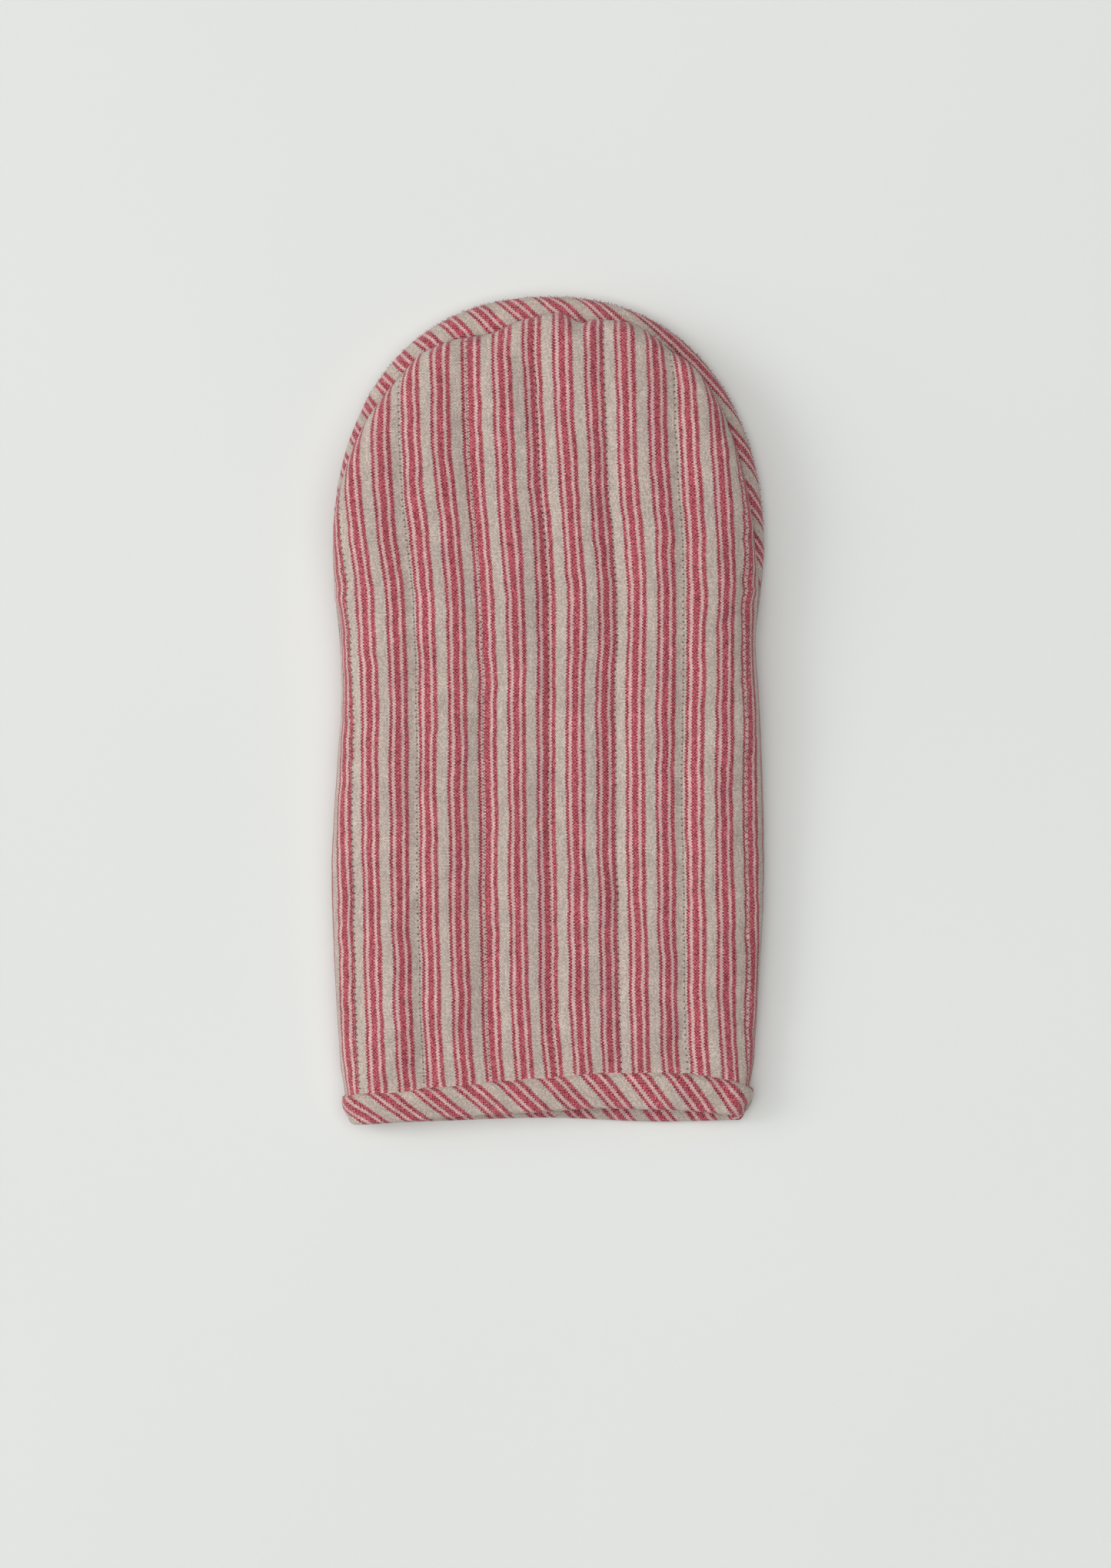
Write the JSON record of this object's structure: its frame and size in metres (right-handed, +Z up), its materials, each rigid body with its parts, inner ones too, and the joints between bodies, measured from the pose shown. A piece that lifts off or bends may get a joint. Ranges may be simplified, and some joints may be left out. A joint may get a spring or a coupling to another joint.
{
  "type": "oven mitt",
  "caption": "Quilted oven mitt with a finger jaw and a thumb jaw that close like a beak, striped cotton outside, bound cuff.",
  "frame": {"origin": "on the table under the middle of the mitt, which lies on its back", "axes": "+X across the width, +Y from the cuff to the tip, +Z up through the front wall"},
  "size_m": [0.1564, 0.3, 0.0268],
  "materials": {
    "striped_cloth": "plain-woven cotton with yarn-dyed red, pink and beige stripes",
    "mouth_cloth": "the same striped cotton, cut on the bias",
    "binding": "bias tape of the same striped cotton",
    "lining": "plain natural cotton",
    "wadding": "soft cotton wadding",
    "thread": "spun sewing thread"
  },
  "bodies": {
    "hand_section": {"front_outer_hand": "striped_cloth", "front_quilting_hand": "thread", "front_wadding_hand": "wadding", "front_lining_hand": "lining", "back_outer_hand": "striped_cloth", "back_quilting_hand": "thread", "back_wadding_hand": "wadding", "back_lining_hand": "lining", "cuff_binding": "binding", "side_seam_left": "lining", "side_seam_right": "lining"},
    "finger_jaw": {"front_outer_finger": "striped_cloth", "front_quilting_finger": "thread", "front_wadding_finger": "wadding", "front_lining_finger": "lining", "mouth_upper_outer": "mouth_cloth", "mouth_upper_quilting": "thread", "mouth_upper_wadding": "wadding", "mouth_upper_lining": "lining", "finger_seam_allowance": "lining"},
    "thumb_jaw": {"back_outer_thumb": "striped_cloth", "back_quilting_thumb": "thread", "back_wadding_thumb": "wadding", "back_lining_thumb": "lining", "mouth_lower_outer": "mouth_cloth", "mouth_lower_quilting": "thread", "mouth_lower_wadding": "wadding", "mouth_lower_lining": "lining", "thumb_seam_allowance": "lining"}
  },
  "joints": [
    {"name": "finger_jaw_opening", "type": "hinge", "parent": "hand_section", "child": "finger_jaw", "pos_m": [0, 0.045, 0.0268], "axis": [1, 0, 0], "range_deg": [0, 55]},
    {"name": "thumb_jaw_opening", "type": "hinge", "parent": "hand_section", "child": "thumb_jaw", "pos_m": [0, 0.045, 0], "axis": [-1, 0, 0], "range_deg": [0, 45]}
  ]
}
